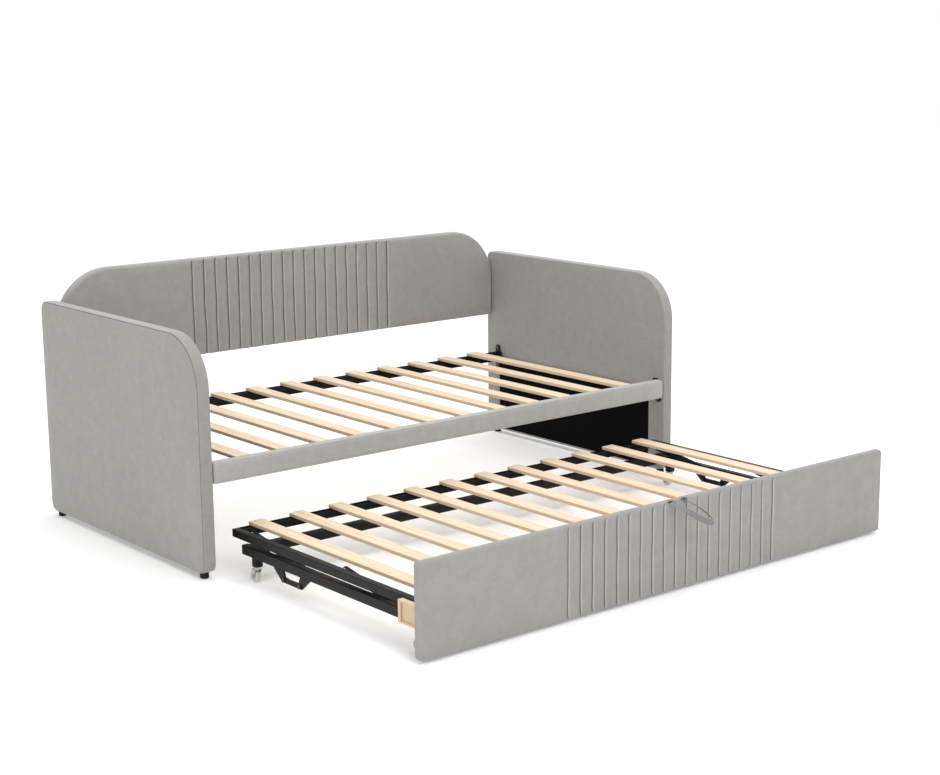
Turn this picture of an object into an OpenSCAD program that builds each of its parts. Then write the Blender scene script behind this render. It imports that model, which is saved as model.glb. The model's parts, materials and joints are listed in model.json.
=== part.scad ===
// Upholstered daybed with a pop-up trundle that is pulled out in front of it.
// X runs along the beds, -Y is the front and +Z is up. The floor is at z = 0 and
// the origin is the middle of the floor outline, strap loop included.

/* [Daybed] */
// Clear width between the two arms
inner_w = 1935; // [1500:1:2350]
// Thickness of an arm, padding included
arm_t = 45; // [36:1:80]
// Depth of an arm from front to back
arm_depth = 1018; // [840:1:1250]
// Height of the arms' top edge above the floor
arm_top = 753; // [600:1:1000]
// Radius of an arm's top front corner
arm_corner_r = 165; // [40:1:220]
// Height of the feet under the arms
foot_h = 19; // [10:1:30]
// Radius of a foot
foot_r = 14; // [8:1:17]
// Thickness of the back panel, padding included
back_t = 36; // [34:1:70]
// Bottom edge of the back panel above the floor
back_bottom = 496; // [420:1:560]
// Top edge of the back panel above the floor
back_top = 847; // [820:1:1050]
// Radius of the back panel's top corners
back_corner_r = 200; // [40:1:240]

/* [Daybed deck] */
// Top of the daybed's slats above the floor
slat_top = 358; // [350:1:420]
// Height of the upholstered front rail
front_rail_h = 67; // [60:1:75]
// How far the front rail stands above the slats
front_rail_lip = 6; // [0:1:20]
// Thickness of the front rail, padding included
front_rail_t = 30; // [24:1:50]
// Width of the steel rear rail
rear_rail_w = 30; // [24:1:45]
// Height of the steel rear rail
rear_rail_h = 34; // [20:1:50]
// Distance from the arms' back edge to the rear rail
rear_rail_inset = 66; // [45:1:110]
// Size of the square steel ledge behind the front rail
ledge_size = 25; // [18:1:32]

/* [Slats] */
// Number of slats in each deck
slat_count = 12; // [6:1:14]
// Gap between an arm and the nearest slat
slat_end_gap = 116.5; // [112:0.5:180]
// Width of a slat
slat_w = 52; // [30:1:80]
// Thickness of a slat
slat_t = 12; // [8:1:18]

/* [Trundle] */
// Gap behind the trundle when it is pushed right in
stow_gap = 13.5; // [5:0.5:60]
// Gap between the arms' front and the trundle's rear end when it is pulled out
pulled_gap = 5; // [3:1:60]
// Gap on each side between the trundle's panel and an arm
panel_side_gap = 8.5; // [4:0.5:20]
// Thickness of the trundle's front panel, padding included
panel_t = 25; // [22:1:45]
// Bottom edge of the panel above the floor
panel_bottom = 9; // [5:1:20]
// Gap between the panel's top and the front rail above it
panel_top_gap = 13; // [6:1:30]
// Gap between an arm and the trundle deck's side rail
deck_side_gap = 57.5; // [50:0.5:80]
// Size of the deck's square steel tube
deck_tube = 25; // [22:1:28]
// Top of the trundle's slats above the floor
trundle_slat_top = 163; // [160:1:175]

/* [Trundle base] */
// How far the base's sides are inside the deck's
base_step = 7; // [5:1:15]
// Width of the base's steel tube
base_tube_w = 25; // [24:1:30]
// Height of the base's steel tube
base_tube_h = 30; // [24:1:32]
// Bottom of the base's tubes above the floor
base_bottom = 77; // [74:1:80]
// How far the base's rear end is in front of the deck's
base_rear_inset = 41; // [30:1:60]
// How far the base's front end is behind the panel
base_front_inset = 38; // [34:1:70]
// Wall of every steel tube
tube_wall = 2; // [1:0.5:3]

/* [Casters] */
// Radius of a caster wheel
wheel_r = 19; // [15:0.5:20]
// Width of a caster wheel
wheel_w = 16; // [10:1:22]
// Distance from the swivel axis back to the wheel's axle
caster_trail = 12; // [6:1:16]
// Radius of a wheel's axle
axle_r = 3; // [2:0.5:4]
// Size of the square post over each caster
post_size = 25; // [22:1:28]
// Distance from the base's rear end to the middle of a rear post
rear_post_inset = 66; // [40:1:90]
// Distance from the base's front end to the middle of a front post
front_post_inset = 18; // [16:1:40]

/* [Lift] */
// Length of a lift arm between its two pivots
lift_arm_l = 270; // [256:1:300]
// Width of a lift arm
lift_arm_w = 24; // [20:1:26]
// Thickness of a lift arm
lift_arm_t = 6; // [4:1:8]
// Distance from the deck's rear end to the rear arms' upper pivot
rear_pivot_inset = 55; // [45:1:90]
// Distance from the base's front end to the front arms' lower pivot
front_pivot_inset = 130; // [60:1:200]
// Radius of a lift arm's pivot pin
pivot_r = 5; // [3:0.5:6]

/* [Handles] */
// Distance from the base's rear end to the middle of a hand hold
handle_inset = 270; // [210:1:330]
// Width of a hand hold along its top
handle_w = 190; // [150:1:230]
// How far a hand hold hangs below the base
handle_drop = 36; // [30:1:45]

/* [Pull strap] */
// How far the strap loop reaches in front of the panel
strap_reach = 140; // [80:1:180]
// Distance between the two ends of the strap
strap_spread = 60; // [40:1:90]
// Width of the strap's webbing
strap_w = 22; // [15:1:30]

/* [Hidden] */

$fn = 48;
LEFT = -1;
RIGHT = 1;
REAR = 1;
FRONT = -1;
cut = 1;              // how far a cutter runs past the face that it opens
running_gap = 0.06;   // radial clearance of a part that turns on a pin
open_gap = 0.2;       // radial clearance at the linkage's last pivot
bolt_gap = 0.3;       // radial clearance of a bolt in its hole
tube_r = 2.5;         // outer corner radius of every square tube

// daybed
front_face_gap = 1.5; // how far the rail and the stowed panel are behind the arms' front
deck_depth = arm_depth - panel_t - front_face_gap - stow_gap;
pull_out = deck_depth + panel_t + pulled_gap;
front_y = (pull_out + strap_reach - arm_depth) / 2;
back_y = front_y + arm_depth;
arm_inner_x = inner_w / 2;
arm_pad = 6;
edge_r = 6;
lining_t = 3;
lining_front = 85;
lining_back = 76;
lining_top = slat_top - 38;
foot_inset = 36;
foot_x = arm_inner_x + arm_t / 2;
nail_r = 2.5;
nail_l = 20;
bolt_r = 4;
bolt_head_r = 7;
bolt_head_t = 3;
screw_r = 3;
screw_head_r = 5.5;
screw_head_t = 4;

// back panel
plate_t = 3;
back_x = arm_inner_x - plate_t;
back_y0 = back_y - back_t;
back_pad = 15;
back_board_y = back_y0 + back_pad;
back_board_t = back_y - lining_t - back_board_y;
back_fold = 30;       // width of the fabric that is turned over behind the board
hanger_z = [back_bottom + 45, back_bottom + 105];
hanger_y = back_board_y + back_board_t / 2;
hanger_l = 25;
end_plate_w = 24;
end_plate_rim = 25;

// daybed deck
grip_t = 1.2;
grip_w = 18;
bracket_t = 4;
bracket_w = 28;
bracket_low = 80;
bracket_high = 16;
front_bracket_high = 9;
bracket_bolt_inset = 12;
shelf_w = 34;
shelf_t = 3;
rail_x = arm_inner_x - bracket_t;
rail_y0 = front_y + front_face_gap;
rail_y1 = rail_y0 + front_rail_t;
rail_top = slat_top + front_rail_lip;
rail_bottom = rail_top - front_rail_h;
rail_pad = 6;
deck_rail_top = slat_top - slat_t - grip_t;
rear_rail_y1 = back_y - rear_rail_inset;
rear_rail_y0 = rear_rail_y1 - rear_rail_w;
front_bracket_y = rail_y0 + 25;
rear_bracket_y = rear_rail_y1 - 4;
bracket_y = [front_bracket_y, rear_bracket_y];
low_bolt_z = slat_top - bracket_low + bracket_bolt_inset;
high_bolts = [
    [rail_y1 + bolt_head_r + 1.5, slat_top - 1],
    [rear_bracket_y, slat_top + bracket_high - bracket_bolt_inset]
];
shelf_bolt_x = rail_x - shelf_w / 2;
slat_pitch = (inner_w - 2 * slat_end_gap - slat_w) / (slat_count - 1);
slat_edge_r = 2.5;

// trundle deck and panel
panel_y0 = front_y - pull_out;
panel_y1 = panel_y0 + panel_t;
panel_x = arm_inner_x - panel_side_gap;
panel_top = rail_bottom - panel_top_gap;
panel_pad = 9;
panel_edge = 5;
panel_fold = 25;
batten_t = 12;
batten_low = 40;
deck_x = arm_inner_x - deck_side_gap;
deck_y0 = panel_y1 + batten_t;
deck_y1 = panel_y1 + deck_depth;
deck_top = trundle_slat_top - slat_t - grip_t;
deck_bottom = deck_top - deck_tube;
cap_t = 2.5;
plug_l = 10;
block_t = 18;
block_l = 112;
block_z = [deck_bottom - 45, deck_top - 5];
block_frame = 12;     // rim that is left round the recess in a block's outer face
block_recess = 5;
block_web = 2;        // wood that is left between a bolt's end and the recess
panel_bolt_grip = 8;
panel_bolt_x = [for (share = [-0.8, -0.35, 0.35, 0.8]) share * (deck_x - deck_tube)];

// trundle base
base_x = deck_x - base_step;
base_inner_x = base_x - base_tube_w;
base_y0 = panel_y1 + base_front_inset;
base_y1 = deck_y1 - base_rear_inset;
cross_rail_w = base_tube_h;
post_x = base_x - base_tube_w / 2;
post_bottom = 2 * wheel_r + 13;
stem_r = 5;
stem_l = 16;
crown_r = 12;
crown_t = 4;
crown_z = 2 * wheel_r + 4;
swivel_gap = 0.5;
cheek_t = 2.5;
cheek_gap = 1;
cheek_r = 7;
axle_head_t = 1.5;

// lift
arm_gap = 6;          // space between a lift arm and the rail beside it
shoulder_gap = 0.2;
lift_x = min(base_inner_x, deck_x - deck_tube) - arm_gap;
base_pivot_z = base_bottom + base_tube_h / 2;
deck_pivot_z = deck_top - deck_tube / 2;
fold_angle = asin((deck_pivot_z - base_pivot_z) / lift_arm_l);
lift_run = lift_arm_l * cos(fold_angle);
rear_deck_pivot_y = deck_y1 - rear_pivot_inset;
rear_base_pivot_y = rear_deck_pivot_y - lift_run;
front_base_pivot_y = base_y0 + front_pivot_inset;
front_deck_pivot_y = front_base_pivot_y + lift_run;
pin_head_r = pivot_r + 4;
pin_head_t = 3;

// handles
handle_y = base_y1 - handle_inset;
handle_t = 6;
handle_bar = 15;
handle_half = handle_w / 2;
grip_half = 0.55 * handle_half;
hold_half = [0.38, 0.46] * handle_half;
handle_nut_r = 6.5;
handle_bolt_y = grip_half - 10;

// pull strap
strap_t = 2;
strap_drop = 2;       // how far the strap's roots are below the panel's top
droop = 9;

// ---------- shared shapes ----------

function arc(x, y, r, from, to, steps = 12) =
    [for (i = [0:steps]) let (a = from + (to - from) * i / steps) [x + r * cos(a), y + r * sin(a)]];

// A rectangle whose corners have the radii bl, br, tr and tl
module rounded_rect(x0, y0, x1, y1, bl, br, tr, tl) {
    polygon(concat(
        arc(x0 + bl, y0 + bl, bl, 180, 270), arc(x1 - br, y0 + br, br, 270, 360),
        arc(x1 - tr, y1 - tr, tr, 0, 90), arc(x0 + tl, y1 - tl, tl, 90, 180)));
}

// The children lie in the (Y, Z) plane and are extruded along X
module along_x(from, to) {
    translate([from, 0, 0]) rotate([90, 0, 90]) linear_extrude(to - from) children();
}

// The children lie in the (X, Z) plane and are extruded along Y
module along_y(from, to) {
    translate([0, to, 0]) rotate([90, 0, 0]) linear_extrude(to - from) children();
}

module box(from, to) {
    translate(from) cube(to - from);
}

module on_side(side) {
    if (side < 0) mirror([1, 0, 0]) children();
    else children();
}

module both_sides() {
    for (side = [LEFT, RIGHT]) on_side(side) children();
}

module rod_x(x0, x1, y, z, r) {
    translate([x0, y, z]) rotate([0, 90, 0]) cylinder(r = r, h = x1 - x0);
}

module rod_y(x, y0, y1, z, r) {
    translate([x, y1, z]) rotate([90, 0, 0]) cylinder(r = r, h = y1 - y0);
}

module rod_z(x, y, z0, z1, r) {
    translate([x, y, z0]) cylinder(r = r, h = z1 - z0);
}

// Outline of a tube's wall, with its lower left corner at (x, y)
module tube_outline(x, y, w, h) {
    difference() {
        rounded_rect(x, y, x + w, y + h, tube_r, tube_r, tube_r, tube_r);
        translate([x + tube_wall, y + tube_wall]) square([w - 2 * tube_wall, h - 2 * tube_wall]);
    }
}

// ---------- arms ----------

module arm_outline(inset) {
    rounded_rect(front_y + inset, foot_h + inset, back_y - inset, arm_top - inset,
        edge_r, edge_r, 2 * edge_r, arm_corner_r - inset);
}

module lining_outline() {
    translate([front_y + lining_front, foot_h + arm_pad + 2])
        square([arm_depth - lining_front - lining_back, lining_top - foot_h - arm_pad - 2]);
}

module foot_places() {
    for (y = [front_y + foot_inset, back_y - foot_inset]) translate([foot_x, y, 0]) children();
}

module foot_nails(r) {
    foot_places() rod_z(0, 0, foot_h - cut, foot_h + nail_l, r);
}

// Where the corner brackets' bolts go into an arm
module bracket_bolts(x0, x1, r) {
    for (y = bracket_y) rod_x(x0, x1, y, low_bolt_z, r);
    for (place = high_bolts) rod_x(x0, x1, place[0], place[1], r);
}

module hanger_bolts(x0, x1, r) {
    for (z = hanger_z) rod_x(x0, x1, hanger_y, z, r);
}

module arm_board() {
    color("burlywood") difference() {
        along_x(arm_inner_x + arm_pad, arm_inner_x + arm_t - arm_pad) arm_outline(arm_pad);
        foot_nails(nail_r);
        bracket_bolts(arm_inner_x, arm_inner_x + hanger_l, bolt_r);
        hanger_bolts(arm_inner_x, arm_inner_x + hanger_l, bolt_r);
    }
}

module arm_cover() {
    color("silver") difference() {
        along_x(arm_inner_x, arm_inner_x + arm_t) arm_outline(0);
        along_x(arm_inner_x + arm_pad, arm_inner_x + arm_t - arm_pad) arm_outline(arm_pad);
        along_x(arm_inner_x - cut, arm_inner_x + arm_pad + cut) lining_outline();
        foot_nails(nail_r + bolt_gap);
        bracket_bolts(arm_inner_x - cut, arm_inner_x + arm_pad + cut, bolt_r + bolt_gap);
        hanger_bolts(arm_inner_x - cut, arm_inner_x + arm_pad + cut, bolt_r + bolt_gap);
    }
}

module arm_lining() {
    color("black") along_x(arm_inner_x + 1, arm_inner_x + arm_pad) lining_outline();
}

module arm_feet() {
    color("black") both_sides() foot_places() union() {
        rotate_extrude() polygon([[0, 0], [foot_r - 2, 0], [foot_r, 2], [foot_r, foot_h - 3],
            [foot_r - 3, foot_h], [0, foot_h]]);
        rod_z(0, 0, foot_h - cut, foot_h + nail_l, nail_r);
    }
}

// ---------- back panel ----------

module back_outline(inset) {
    rounded_rect(-back_x + inset, back_bottom + inset, back_x - inset, back_top - inset,
        edge_r, edge_r, back_corner_r - inset, back_corner_r - inset);
}

module back_board() {
    color("burlywood") difference() {
        along_y(back_board_y, back_board_y + back_board_t) back_outline(edge_r);
        both_sides() hanger_bolts(back_x - hanger_l, back_x, bolt_r);
    }
}

module back_cover() {
    color("silver") difference() {
        along_y(back_y0, back_y) back_outline(0);
        along_y(back_board_y, back_board_y + back_board_t) back_outline(edge_r);
        along_y(back_board_y + cut, back_y + cut) back_outline(back_fold);
        both_sides() hanger_bolts(back_x - edge_r - cut, back_x + cut, bolt_r + bolt_gap);
    }
}

module back_lining() {
    color("black") along_y(back_y - lining_t, back_y) back_outline(back_fold);
}

module back_end_plates() {
    half = end_plate_w / 2;
    color("dimgray") both_sides() difference() {
        along_x(back_x, arm_inner_x)
            rounded_rect(hanger_y - half, hanger_z[0] - end_plate_rim,
                hanger_y + half, hanger_z[1] + end_plate_rim, 5, 5, 5, 5);
        hanger_bolts(back_x - cut, arm_inner_x + cut, bolt_r + bolt_gap);
    }
}

// ---------- daybed deck ----------

module front_rail_board() {
    color("burlywood") along_x(-rail_x, rail_x) translate([rail_y0 + rail_pad, rail_bottom + rail_pad])
        square([front_rail_t - rail_pad, front_rail_h - 2 * rail_pad]);
}

module front_rail_cover() {
    color("silver") along_x(-rail_x, rail_x) difference() {
        rounded_rect(rail_y0, rail_bottom, rail_y1, rail_top, edge_r, 1, 1, edge_r);
        translate([rail_y0 + rail_pad, rail_bottom + rail_pad])
            square([front_rail_t, front_rail_h - 2 * rail_pad]);
    }
}

// Bolts that come up through a bracket's shelf into a rail
module shelf_bolts(y, z0, z1, r) {
    both_sides() rod_z(shelf_bolt_x, y, z0, z1, r);
}

module front_ledge() {
    bottom = deck_rail_top - ledge_size;
    color("black") difference() {
        along_x(-rail_x, rail_x) tube_outline(rail_y1, bottom, ledge_size, ledge_size);
        shelf_bolts(rail_y1 + ledge_size / 2, bottom - cut, bottom + tube_wall + cut,
            screw_r + bolt_gap);
    }
}

module rear_rail() {
    bottom = deck_rail_top - rear_rail_h;
    color("black") difference() {
        along_x(-rail_x, rail_x) tube_outline(rear_rail_y0, bottom, rear_rail_w, rear_rail_h);
        shelf_bolts(rear_rail_y0 + rear_rail_w / 2, bottom - cut, bottom + tube_wall + cut,
            screw_r + bolt_gap);
    }
}

module bracket_plate(y0, y1, z0, z1, r) {
    along_x(rail_x, arm_inner_x) rounded_rect(y0, z0, y1, z1, r, r, r, r);
}

// The part of a corner bracket that carries a rail from y0 to y1 with its bottom at z
module bracket_shelf(y0, y1, z) {
    difference() {
        box([rail_x - shelf_w, y0, z - shelf_t], [rail_x + cut, y1, z]);
        rod_z(shelf_bolt_x, (y0 + y1) / 2, z - shelf_t - cut, z + cut, screw_r + bolt_gap);
    }
}

module front_bracket() {
    half = bracket_w / 2;
    bracket_plate(front_bracket_y - half, front_bracket_y + half,
        slat_top - bracket_low, rail_top - half, half - cut);
    bracket_plate(front_bracket_y, high_bolts[0][0] + half,
        deck_rail_top - ledge_size - half, slat_top + front_bracket_high, half / 2);
    bracket_shelf(rail_y1, rail_y1 + ledge_size, deck_rail_top - ledge_size);
}

module rear_bracket() {
    half = bracket_w / 2;
    bracket_plate(rear_bracket_y - half, rear_bracket_y + half,
        slat_top - bracket_low, slat_top + bracket_high, half);
    bracket_shelf(rear_rail_y0, rear_rail_y1, deck_rail_top - rear_rail_h);
}

module corner_brackets() {
    color("black") both_sides() difference() {
        union() {
            front_bracket();
            rear_bracket();
        }
        bracket_bolts(rail_x - cut, arm_inner_x + cut, bolt_r + bolt_gap);
    }
}

module shelf_bolt(y, z) {
    translate([shelf_bolt_x, y, z - shelf_t]) union() {
        rod_z(0, 0, -screw_head_t, 0, screw_head_r);
        rod_z(0, 0, -screw_head_t, shelf_t + 10, screw_r);
    }
}

module frame_bolts() {
    color("dimgray") both_sides() {
        union() {
            bracket_bolts(rail_x - bolt_head_t, rail_x, bolt_head_r);
            bracket_bolts(rail_x - bolt_head_t, arm_inner_x + hanger_l, bolt_r);
        }
        hanger_bolts(back_x - hanger_l, arm_inner_x + hanger_l, bolt_r);
        shelf_bolt(rail_y1 + ledge_size / 2, deck_rail_top - ledge_size);
        shelf_bolt(rear_rail_y0 + rear_rail_w / 2, deck_rail_top - rear_rail_h);
    }
}

// ---------- slats ----------

module slats(y0, y1, top) {
    for (i = [0:slat_count - 1])
        translate([(i - (slat_count - 1) / 2) * slat_pitch, 0, 0])
            along_y(y0, y1) rounded_rect(-slat_w / 2, top - slat_t, slat_w / 2, top,
                slat_edge_r, slat_edge_r, slat_edge_r, slat_edge_r);
}

module grip_strip(y, z, x) {
    half = grip_w / 2;
    box([-x, y - half, z], [x, y + half, z + grip_t]);
}

module daybed_slats() {
    color("wheat") slats(rail_y1 + 3, rear_rail_y1 - 1, slat_top);
}

module daybed_grip_strips() {
    color("black") {
        grip_strip(rail_y1 + ledge_size / 2, deck_rail_top, rail_x);
        grip_strip(rear_rail_y0 + rear_rail_w / 2, deck_rail_top, rail_x);
    }
}

module trundle_slats() {
    color("wheat") slats(deck_y0 + 2, deck_y1 - 1, trundle_slat_top);
}

module trundle_grip_strips() {
    color("black") for (y = [deck_y0, deck_y1 - deck_tube])
        grip_strip(y + deck_tube / 2, deck_top, deck_x - deck_tube);
}

// ---------- trundle base ----------

module base_side_rail() {
    color("black") along_y(base_y0 + cap_t, base_y1 - cap_t)
        tube_outline(base_inner_x, base_bottom, base_tube_w, base_tube_h);
}

module base_cross_rail(y) {
    color("black") along_x(-base_inner_x, base_inner_x)
        tube_outline(y, base_bottom, cross_rail_w, base_tube_h);
}

// A plastic cap on a tube's end at y; the plug goes inwards along dir
module end_cap(x, z, w, h, y, dir) {
    plate = [min(y, y + dir * cap_t), max(y, y + dir * cap_t)];
    inner = y + dir * (cap_t + plug_l);
    plug = [min(y + dir * cap_t, inner), max(y + dir * cap_t, inner)];
    along_y(plate[0], plate[1]) rounded_rect(x, z, x + w, z + h, tube_r, tube_r, tube_r, tube_r);
    box([x + tube_wall, plug[0], z + tube_wall], [x + w - tube_wall, plug[1], z + h - tube_wall]);
}

module base_end_caps() {
    color("black") both_sides() {
        union() end_cap(base_inner_x, base_bottom, base_tube_w, base_tube_h, base_y0, 1);
        union() end_cap(base_inner_x, base_bottom, base_tube_w, base_tube_h, base_y1, -1);
    }
}

function post_y(end) = end == REAR ? base_y1 - rear_post_inset : base_y0 + front_post_inset;

module caster_posts() {
    half = post_size / 2;
    color("black") both_sides() for (end = [FRONT, REAR])
        translate([post_x, post_y(end), post_bottom]) difference() {
            linear_extrude(base_bottom - post_bottom)
                rounded_rect(-half, -half, half, half, tube_r, tube_r, tube_r, tube_r);
            rod_z(0, 0, -cut, stem_l + cut, stem_r + running_gap);
        }
}

// A folded plate under the side rail, with a hand hold between it and the rail
module handle_bracket() {
    color("black") difference() {
        along_x(base_x - handle_t, base_x) translate([handle_y, base_bottom]) polygon([
            [-handle_half, 0], [-grip_half, -handle_drop], [grip_half, -handle_drop], [handle_half, 0],
            [hold_half[1], 0], [hold_half[0], handle_bar - handle_drop],
            [-hold_half[0], handle_bar - handle_drop], [-hold_half[1], 0]]);
        handle_bolt_rods(base_x - handle_t - cut, base_x + cut, bolt_r + bolt_gap);
    }
}

module handle_bolt_rods(x0, x1, r) {
    for (y = [-handle_bolt_y, handle_bolt_y])
        rod_x(x0, x1, handle_y + y, base_bottom - handle_drop + handle_bar / 2, r);
}

module handle_bolts() {
    color("dimgray") both_sides() union() {
        handle_bolt_rods(base_x, base_x + 4, bolt_head_r);
        handle_bolt_rods(base_x - handle_t - 10, base_x + 4, bolt_r);
        handle_bolt_rods(base_x - handle_t - 5, base_x - handle_t, handle_nut_r);
    }
}

// ---------- lift ----------

// A shouldered pin that starts on a rail's face at x and carries a lift arm
module pivot_pin(x, y, z) {
    head_x = lift_x - lift_arm_t - shoulder_gap;
    rod_x(lift_x + shoulder_gap, x, y, z, pivot_r + 3);
    rod_x(head_x - shoulder_gap, x, y, z, pivot_r);
    rod_x(head_x - pin_head_t, head_x, y, z, pin_head_r);
}

module base_pivot_pins() {
    color("silver") both_sides() for (y = [front_base_pivot_y, rear_base_pivot_y])
        union() pivot_pin(base_inner_x, y, base_pivot_z);
}

module deck_pivot_pins() {
    color("silver") both_sides() for (y = [front_deck_pivot_y, rear_deck_pivot_y])
        union() pivot_pin(deck_x - deck_tube, y, deck_pivot_z);
}

module lift_arm(base_y, upper_gap) {
    end_r = lift_arm_w / 2;
    color("black") translate([0, base_y, base_pivot_z]) rotate([fold_angle, 0, 0]) difference() {
        union() {
            rod_x(lift_x - lift_arm_t, lift_x, 0, 0, end_r);
            rod_x(lift_x - lift_arm_t, lift_x, lift_arm_l, 0, end_r);
            box([lift_x - lift_arm_t, 0, -end_r], [lift_x, lift_arm_l, end_r]);
        }
        rod_x(lift_x - lift_arm_t - cut, lift_x + cut, 0, 0, pivot_r + running_gap);
        rod_x(lift_x - lift_arm_t - cut, lift_x + cut, lift_arm_l, 0, pivot_r + upper_gap);
    }
}

module rear_lift_arm() {
    lift_arm(rear_base_pivot_y, running_gap);
}

// The linkage's last pivot has more play than the others
module front_lift_arm() {
    lift_arm(front_base_pivot_y, open_gap);
}

// ---------- trundle deck ----------

module block_bolts(x0, x1, r) {
    for (y = [deck_y0 + deck_tube + 8, panel_y1 + block_l - 20]) rod_x(x0, x1, y, deck_pivot_z, r);
}

module deck_side_rail() {
    color("black") difference() {
        along_y(deck_y0, deck_y1 - cap_t)
            tube_outline(deck_x - deck_tube, deck_bottom, deck_tube, deck_tube);
        block_bolts(deck_x - deck_tube - cut, deck_x + cut, screw_r + bolt_gap);
    }
}

module deck_rear_rail() {
    color("black") along_x(deck_tube - deck_x, deck_x - deck_tube)
        tube_outline(deck_y1 - deck_tube, deck_bottom, deck_tube, deck_tube);
}

// Bolts from behind the front rail into the panel's board
module panel_bolt_rods(y0, y1, r) {
    for (x = panel_bolt_x) rod_y(x, y0, y1, deck_pivot_z, r);
}

module deck_front_rail() {
    color("black") difference() {
        along_x(deck_tube - deck_x, deck_x - deck_tube)
            tube_outline(deck_y0, deck_bottom, deck_tube, deck_tube);
        panel_bolt_rods(deck_y0 - cut, deck_y0 + deck_tube + cut, screw_r + bolt_gap);
    }
}

module deck_end_caps() {
    color("black") both_sides() union()
        end_cap(deck_x - deck_tube, deck_bottom, deck_tube, deck_tube, deck_y1, -1);
}

module panel_batten() {
    color("burlywood") difference() {
        box([-deck_x, panel_y1, deck_top - batten_low], [deck_x, deck_y0, deck_top]);
        panel_bolt_rods(panel_y1 - cut, deck_y0 + cut, screw_r + bolt_gap);
    }
}

module panel_blocks() {
    back = deck_x + block_t - block_recess;
    color("wheat") both_sides() difference() {
        box([deck_x, panel_y1, block_z[0]], [deck_x + block_t, panel_y1 + block_l, block_z[1]]);
        box([back, panel_y1 + block_frame, block_z[0] + block_frame / 2],
            [deck_x + block_t + cut, panel_y1 + block_l - block_frame, block_z[1] - block_frame / 2]);
        block_bolts(deck_x - cut, back - block_web, screw_r);
    }
}

module panel_bolts() {
    head_x = deck_x - deck_tube;
    head_y = deck_y0 + deck_tube;
    color("dimgray") {
        panel_bolt_rods(head_y, head_y + screw_head_t, screw_head_r);
        panel_bolt_rods(panel_y1 - lining_t - panel_bolt_grip, head_y + screw_head_t, screw_r);
        both_sides() union() {
            block_bolts(head_x - screw_head_t, head_x, screw_head_r);
            block_bolts(head_x - screw_head_t, deck_x + block_t - block_recess - block_web, screw_r);
        }
    }
}

// ---------- trundle panel ----------

module panel_outline(inset) {
    r = edge_r - min(inset, edge_r - 1);
    x = panel_x - inset;
    rounded_rect(-x, panel_bottom + inset, x, panel_top - inset, r, r, r, r);
}

module panel_board() {
    color("burlywood") difference() {
        along_y(panel_y0 + panel_pad, panel_y1 - lining_t) panel_outline(panel_edge);
        panel_bolt_rods(panel_y1 - lining_t - panel_bolt_grip, panel_y1, screw_r);
    }
}

module panel_cover() {
    color("silver") difference() {
        along_y(panel_y0, panel_y1) panel_outline(0);
        along_y(panel_y0 + panel_pad, panel_y1 - lining_t) panel_outline(panel_edge);
        along_y(panel_y0 + panel_pad + cut, panel_y1 + cut) panel_outline(panel_fold);
    }
}

module panel_lining() {
    color("black") difference() {
        along_y(panel_y1 - lining_t, panel_y1) panel_outline(panel_fold);
        panel_bolt_rods(panel_y1 - lining_t - cut, panel_y1 + cut, screw_r + bolt_gap);
    }
}

// Half an oval of webbing on edge, which droops a little towards its end
module pull_strap() {
    reach = (strap_reach - strap_w * sin(droop)) / cos(droop);
    color("silver") difference() {
        translate([0, panel_y0, panel_top - strap_w - strap_drop]) rotate([droop, 0, 0])
            linear_extrude(strap_w) difference() {
                polygon(half_oval(strap_spread / 2, reach));
                polygon(half_oval(strap_spread / 2 - strap_t, reach - strap_t));
            }
        box([-strap_spread, panel_y0, 0], [strap_spread, panel_y1, panel_top]);
    }
}

function half_oval(half, reach) =
    concat([[half, 10]], [for (a = [0:7.5:180]) [half * cos(a), -reach * sin(a)]], [[-half, 10]]);

// ---------- casters ----------

// Moves what stands at a caster's swivel axis, with the wheel behind it, to one corner
module at_caster(side, end) {
    on_side(side) translate([post_x, post_y(end), 0]) children();
}

module fork() {
    half = wheel_w / 2 + cheek_gap;
    outer = half + cheek_t;
    color("silver") difference() {
        union() {
            rod_z(0, 0, crown_z, post_bottom + stem_l, stem_r);
            rod_z(0, 0, crown_z, post_bottom - swivel_gap, crown_r);
            box([-outer, -crown_r / 2, crown_z], [outer, caster_trail, crown_z + crown_t]);
            for (x = [-outer, half]) along_x(x, x + cheek_t) union() {
                translate([caster_trail, wheel_r]) circle(cheek_r);
                polygon([[-crown_r / 2, crown_z + cut], [caster_trail - cheek_r, wheel_r],
                    [caster_trail + cheek_r, wheel_r], [caster_trail, crown_z + cut]]);
            }
        }
        rod_x(-outer - cut, outer + cut, caster_trail, wheel_r, axle_r);
    }
}

module axle() {
    half = wheel_w / 2 + cheek_gap + cheek_t;
    color("silver") union() {
        rod_x(-half, half, caster_trail, wheel_r, axle_r);
        rod_x(-half - axle_head_t, -half, caster_trail, wheel_r, axle_r + 1.5);
        rod_x(half, half + axle_head_t, caster_trail, wheel_r, axle_r + 1.5);
    }
}

module wheel() {
    half = wheel_w / 2;
    bore = axle_r + running_gap;
    color("gainsboro") translate([0, caster_trail, wheel_r]) rotate([0, 90, 0]) rotate_extrude($fn = 64)
        polygon([[bore, -half], [axle_r + 4, -half], [axle_r + 5, -half + 2], [wheel_r - 5, -half + 2],
            [wheel_r - 4, -half], [wheel_r - 2, -half], [wheel_r, -half + 2], [wheel_r, half - 2],
            [wheel_r - 2, half], [wheel_r - 4, half], [wheel_r - 5, half - 2], [axle_r + 5, half - 2],
            [axle_r + 4, half], [bore, half]]);
}

// ---------- nodes ----------

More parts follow.
